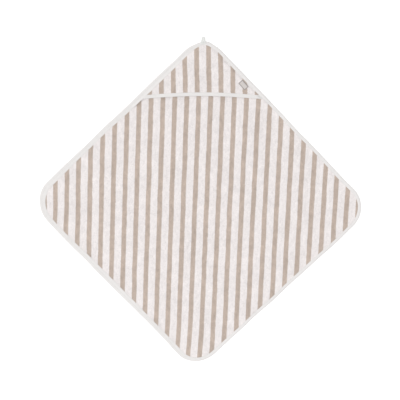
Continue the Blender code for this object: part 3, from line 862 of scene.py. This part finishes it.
def stitch_dips(count, depth, joined=False):
    """(stitches, dips) along a thread that dips into the cloth: narrow pits, |cos| to the 12th."""
    turn = np.arange(count * STEPS_PER_STITCH + (not joined)) / STEPS_PER_STITCH
    return turn, depth * np.abs(np.cos(math.pi * turn)) ** 12


def edge_thread(cut, name, upper, material):
    """One thread of the seam round the edge binding, on its upper or its lower lap."""
    inset = cut.sizes.edge_seam
    count = round(cut.perimeter / cut.sizes.stitch)
    turn, dip = stitch_dips(count, SEAM_DIP, joined=True)
    x, y, out_x, out_y = cut.edge(turn * cut.perimeter / count)
    surface = edge_lap_top(cut, x, y) + lap_relief(inset, inset) if upper else LAP_BOTTOM
    proud = 0.3 * THREAD - dip
    path = cut.settled(x - inset * out_x, y - inset * out_y, surface + (proud if upper else -proud))
    across = np.stack([out_x, out_y, np.zeros_like(out_x)], axis=-1)
    return piece(name, *tube(path, across, THREAD / 2.0, joined=True), material)


def mouth_thread(cut, hand, name, upper, material):
    """One half of a thread of the seam along the mouth binding."""
    inset = cut.sizes.mouth_tape_width - SEAM_SETBACK
    end = abs(cut.mouth_end(hand, THREAD_TUCK, inset))
    turn, dip = stitch_dips(round(end / cut.sizes.stitch), SEAM_DIP)
    x, y = mouth_places(cut, hand, turn / turn[-1], inset, THREAD_TUCK)
    surface = MOUTH_LAP_TOP + lap_relief(inset, inset) if upper else MOUTH_LAP_BOTTOM
    proud = 0.3 * THREAD - dip
    path = cut.settled(x, y, tucked(cut, x, y, surface) + (proud if upper else -proud), on_hood=True)
    return piece(name, *tube(path, (0.0, 1.0, 0.0), THREAD / 2.0), material)


# The loop, the bar of stitches and the label.


def hanging_loop(cut, material):
    """The tape loop: a narrow arch lying flat with its legs side by side, its tape gathered towards the tip.

    The tape's middle runs straight up one leg, half a circle round the tip and down the other leg. Its
    width narrows from foot to tip, it is domed across, it lies flat where it is sewn, and its tip curls up.
    """
    sizes = cut.sizes
    low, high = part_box("hanging_loop")
    sewn_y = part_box("loop_bartack")[0].y - LOOP_PAST_BAR
    half_foot, half_tip = sizes.loop_foot / 2.0, sizes.loop_tape / 2.0
    centre = EDGE_HIGH.y + sizes.loop_reach - sewn_y - sizes.loop_tip
    turn = np.linspace(0.0, math.pi, 33)
    tip = np.stack([np.cos(turn), np.sin(turn)], axis=-1) * (sizes.loop_tip - half_tip) + [0.0, centre]
    climb = np.linspace(0.0, 1.0, 33)[:-1, None]
    leg = mixed(np.array([sizes.loop_width / 2.0 - half_foot, 0.0]), tip[0], climb)
    middle = np.concatenate([leg, tip, leg[::-1] * [-1.0, 1.0]])
    half = mixed(half_foot, half_tip, climb)
    half = np.concatenate([half, np.full((len(turn), 1), half_tip), half[::-1]])
    facing = np.concatenate([np.zeros(len(climb)), turn, np.full(len(climb), math.pi)])
    outward = np.stack([np.cos(facing), np.sin(facing)], axis=-1)
    across = close_at_ends(13)
    place = middle[:, None] + outward[:, None] * (across * half)[..., None]
    x, y = place[..., 0], place[..., 1] + sewn_y - CENTRE_Y
    free = smooth((place[..., 1] - 2.0 * LOOP_PAST_BAR) / 0.006)
    half_thick = mixed(SEWN_TAPE / 2.0, (high.z - low.z) / 2.0, free)
    dome = half_thick * (0.35 + 0.65 * np.sqrt(1.0 - across**6))
    ridge = 0.00016 * free * bell((np.abs(across) - 0.72) / 0.10)
    level = low.z + half_thick + 0.0012 * smooth((place[..., 1] - 0.010) / 0.018)
    faces = cut.settled(x, y, level + dome - ridge), cut.settled(x, y, level - dome)
    return piece("loop_of_tape", *slab(*faces, distances(middle)[:, None], across * half), material)


def bar_of_stitches(cut, material):
    """The bartack: one thread laid to and fro over the loop's sewn ends, dipping in at each turn."""
    low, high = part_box("loop_bartack")
    passes, steps = 44, 6
    turn = np.arange(passes * steps + 1) / steps
    swing = np.abs((turn % 2.0) - 1.0) * 2.0 - 1.0
    reach = cut.sizes.loop_width / 2.0 + 0.0006
    x = mixed(-reach, reach, turn / passes)
    y = (low.y + high.y) / 2.0 - CENTRE_Y + swing * (high.y - low.y) / 2.0
    level = low.z + SEWN_TAPE + 0.00016 - 0.0005 * np.abs(swing) ** 6
    path = cut.settled(x, y, level)
    return piece("bar_of_stitches", *tube(path, (1.0, 0.0, 0.0), radius=0.00018), material)


def label_points(cut, u, v, height):
    """Points of the label, this far along, across and over its underside, which follows the hood's cloth."""
    low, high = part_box("hood_label")
    turn = cut.sizes.label_angle
    x = (low.x + high.x) / 2.0 + u * math.cos(turn) - v * math.sin(turn)
    y = (low.y + high.y) / 2.0 - CENTRE_Y + u * math.sin(turn) + v * math.cos(turn)
    underside = hood_levels(cut, x, y)[0] + LABEL_BOTTOM - HOOD_TOP
    return cut.settled(x, y, underside + height, on_hood=True)


def woven_label(cut, material):
    """The blank label: a thin ribbon with its short ends folded under, and its rim rounded."""
    half = (LABEL_TOP - LABEL_BOTTOM) / 2.0
    u, v = np.meshgrid(close_at_ends(33), close_at_ends(21), indexing="ij")
    fold = half * 0.5 * smooth((np.abs(u) - 0.72) / 0.06)
    rim = half * (0.3 + 0.7 * np.sqrt((1.0 - u**8) * (1.0 - v**8)))
    u, v = u * cut.sizes.label_length / 2.0, v * cut.sizes.label_width / 2.0
    faces = [label_points(cut, u, v, half * 0.6 + height) for height in (rim + fold, -rim)]
    return piece("woven_label", *slab(*faces, u, v), material)


def label_stitches(cut, material):
    """The stitches round the label, 1.5 mm in from its rim, along a rectangle."""
    half_u, half_v = cut.sizes.label_length / 2.0 - 0.0015, cut.sizes.label_width / 2.0 - 0.0015
    around = 4.0 * (half_u + half_v)
    count = round(around / 0.0024)
    turn, dip = stitch_dips(count, 0.0005, joined=True)
    run = turn / count * around
    corners = np.cumsum([0.0, 2.0 * half_u, 2.0 * half_v, 2.0 * half_u, 2.0 * half_v])
    u = np.interp(run, corners, [-half_u, half_u, half_u, -half_u, -half_u])
    v = np.interp(run, corners, [-half_v, -half_v, half_v, half_v, -half_v])
    path = label_points(cut, u, v, (LABEL_TOP - LABEL_BOTTOM) * 0.8 + 0.5 * THREAD - dip)
    return piece("label_stitches", *tube(path, (0.0, 0.0, 1.0), radius=0.00022, joined=True), material)


# Operators.


def setting(context):
    """(the cut, the colours) that the scene's values give."""
    return Cut(context.scene.baby_towel_sizes), context.scene.baby_towel_colours


def stands_for(node):
    """The piece replaces a CAD node, which is hidden."""
    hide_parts(node)


def lift_with_hood(made):
    """The piece's transform is baked into its mesh."""
    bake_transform(made)


class BodyOperator(bpy.types.Operator):
    """Make the square of striped terry"""

    bl_idname = "baby_towel.body"
    bl_label = "Body Cloth"

    def execute(self, context):
        cut, colours = setting(context)
        finish = terry_material("body_terry", colours, cut.sizes, cut.sizes.stripe_pitch, BODY_STRIPES)
        body = body_cloth(cut, finish)
        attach(body, "towel")
        stands_for("body_panel")
        return {"FINISHED"}


class HoodOperator(bpy.types.Operator):
    """Make the two halves of the hood's cloth"""

    bl_idname = "baby_towel.hood"
    bl_label = "Hood Cloth"

    def execute(self, context):
        cut, colours = setting(context)
        finish = terry_material("hood_terry", colours, cut.sizes, cut.sizes.hood_stripe_pitch, HOOD_STRIPES)
        for hand in SIDES:
            half = hood_cloth(cut, hand, finish)
            lift_with_hood(half)
            stands_for("hood_panel")
            width, depth, area = half_hood_cut(cut, hand)
        return {"FINISHED"}


def half_hood_cut(cut, hand):
    """(width, depth, area) of half of the hood's cut, with its sewn margins, by strips of x."""
    x = np.linspace(0.0, cut.mouth_end(hand, CLOTH_IN_FOLD, CLOTH_IN_FOLD), 200)
    heights = cut.hood_side(x, CLOTH_IN_FOLD) - cut.mouth_height(x, CLOTH_IN_FOLD)
    area = np.sum((heights[1:] + heights[:-1]) / 2.0) * abs(x[1] - x[0])
    return abs(float(x[-1])), float(heights.max()), float(area)


class EdgeTapeOperator(bpy.types.Operator):
    """Make the tape folded over the towel's edge"""

    bl_idname = "baby_towel.edge_tape"
    bl_label = "Edge Tape"

    def execute(self, context):
        cut, colours = setting(context)
        tape = edge_tape(cut, tape_material("edge_tape_cotton", colours.tape, 0.0006))
        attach(tape, "towel")
        stands_for("edge_binding")
        return {"FINISHED"}


class MouthTapeOperator(bpy.types.Operator):
    """Make the two halves of the tape folded over the hood's mouth"""

    bl_idname = "baby_towel.mouth_tape"
    bl_label = "Mouth Tape"

    def execute(self, context):
        cut, colours = setting(context)
        finish = tape_material("mouth_tape_cotton", colours.tape, 0.0006)
        for hand in SIDES:
            half = mouth_tape(cut, hand, finish)
            lift_with_hood(half)
            stands_for("hood_mouth_binding")
            run = abs(float(cut.mouth_end(hand, TAPE_TUCK, 0.0)))
        return {"FINISHED"}


class ThreadsOperator(bpy.types.Operator):
    """Make the threads of the two long seams"""

    bl_idname = "baby_towel.threads"
    bl_label = "Seam Threads"

    def execute(self, context):
        cut, colours = setting(context)
        finish = thread_material("sewing_cotton", colours.cotton)
        for place, upper in (("needle", True), ("bobbin", False)):
            around = edge_thread(cut, f"edge_{place}_stitches", upper, finish)
            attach(around, "towel")
            stands_for(f"edge_{place}_thread")
            for hand, side in SIDES.items():
                half = mouth_thread(cut, hand, f"mouth_{place}_stitches_{side}", upper, finish)
                lift_with_hood(half)
                stands_for(f"mouth_{place}_thread")
        return {"FINISHED"}


class LoopOperator(bpy.types.Operator):
    """Make the hanging loop and the bar of stitches that holds it"""

    bl_idname = "baby_towel.loop"
    bl_label = "Hanging Loop"

    def execute(self, context):
        cut, colours = setting(context)
        loop = hanging_loop(cut, tape_material("loop_cotton_tape", colours.loop, 0.0005))
        bar_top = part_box("loop_bartack")[1].y - CENTRE_Y
        bend = cut.settled(np.zeros(2), np.array([bar_top + 0.0006, bar_top + 0.0070]), EDGE_HIGH.z)
        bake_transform(loop)
        stands_for("hanging_loop")
        bar = bar_of_stitches(cut, thread_material("bar_cotton", colours.cotton))
        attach(bar, "towel")
        stands_for("loop_bartack")
        return {"FINISHED"}


class LabelOperator(bpy.types.Operator):
    """Make the blank woven label and its stitches"""

    bl_idname = "baby_towel.label"
    bl_label = "Label"

    def execute(self, context):
        cut, colours = setting(context)
        label = woven_label(cut, label_material("label_ribbon", colours, cut.sizes))
        stitches = label_stitches(cut, thread_material("label_cotton", colours.label_stitches))
        lift_with_hood(label)
        stands_for("hood_label")
        lift_with_hood(stitches)
        stands_for("label_thread")
        return {"FINISHED"}


class StageOperator(bpy.types.Operator):
    """Make the pale floor, the soft lights and the camera"""

    bl_idname = "baby_towel.stage"
    bl_label = "Stage"

    def execute(self, context):
        scene = context.scene
        scene.view_settings.view_transform = "Standard"
        plane = bpy.data.meshes.new("floor")
        reach, level = 6.0, -0.0003
        corners = [(x * reach, y * reach, level) for x, y in ((-1, -1), (1, -1), (1, 1), (-1, 1))]
        plane.from_pydata(corners, [], [(0, 1, 2, 3)])
        paint = bpy.data.materials.new("floor_paint")
        paint.use_nodes = True
        shader = paint.node_tree.nodes["Principled BSDF"].inputs
        shader["Base Color"].default_value = (0.60, 0.60, 0.60, 1.0)
        shader["Roughness"].default_value = 1.0
        shader["Emission Color"].default_value = (1.0, 1.0, 1.0, 1.0)
        shader["Emission Strength"].default_value = 0.65
        plane.materials.append(paint)
        linked("floor", plane)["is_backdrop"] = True

        scene.world = bpy.data.worlds.new("soft_room")
        scene.world.use_nodes = True
        room = scene.world.node_tree.nodes["Background"].inputs
        room["Color"].default_value = (1.0, 1.0, 1.0, 1.0)
        room["Strength"].default_value = 0.65
        window = bpy.data.lights.new("window", "SUN")
        window.energy, window.angle = 1.12, math.radians(40.0)
        fill = bpy.data.lights.new("fill_box", "AREA")
        fill.energy, fill.shape, fill.size = 34.0, "SQUARE", 2.8
        for light, place in ((window, Vector((-2.0, 0.8, 3.2))), (fill, Vector((-1.4, -1.3, 3.6)))):
            to_middle = (-place).to_track_quat("-Z", "Y")
            linked(light.name, light).matrix_world = Matrix.LocRotScale(place, to_middle, None)

        camera = bpy.data.cameras.new("camera")
        camera.lens, camera.sensor_width, camera.clip_end = 146.76, 36.0, 50.0
        turned = Matrix.Rotation(math.radians(1.387), 4, "Z") @ Matrix.Rotation(math.radians(-11.95), 4, "X")
        away = Matrix.Translation((0.0, CENTRE_Y, 0.0)) @ turned @ Matrix.Translation((0.0023, 0.01436, 5.0))
        scene.camera = linked("camera", camera)
        scene.camera.matrix_world = away
        return {"FINISHED"}


OPERATORS = (
    BodyOperator,
    HoodOperator,
    EdgeTapeOperator,
    MouthTapeOperator,
    ThreadsOperator,
    LoopOperator,
    LabelOperator,
    StageOperator,
)


class TowelPanel(bpy.types.Panel):
    """The steps that make the towel, in order"""

    bl_idname = "VIEW3D_PT_baby_towel"
    bl_label = "Hooded Baby Towel"
    bl_space_type = "VIEW_3D"
    bl_region_type = "UI"
    bl_category = "Baby Towel"

    def draw(self, context):
        for operator in OPERATORS:
            self.layout.operator(operator.bl_idname)
        for group in (context.scene.baby_towel_sizes, context.scene.baby_towel_colours):
            box = self.layout.box()
            for name in group.__annotations__:
                box.prop(group, name)


CLASSES = (TowelSizes, TowelColours, *OPERATORS, TowelPanel)


def register():
    for item in CLASSES:
        bpy.utils.register_class(item)
    bpy.types.Scene.baby_towel_sizes = bpy.props.PointerProperty(type=TowelSizes)
    bpy.types.Scene.baby_towel_colours = bpy.props.PointerProperty(type=TowelColours)


def unregister():
    del bpy.types.Scene.baby_towel_colours
    del bpy.types.Scene.baby_towel_sizes
    for item in reversed(CLASSES):
        bpy.utils.unregister_class(item)


def main():
    register()
    for operator in OPERATORS:
        getattr(bpy.ops.baby_towel, operator.bl_idname.split(".")[1])()
    boxes = {"cad": CAD_BOX, "visual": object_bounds()}
    boxes = {name: [list(corner) for corner in box] for name, box in boxes.items()}


if __name__ == "__main__":
    main()
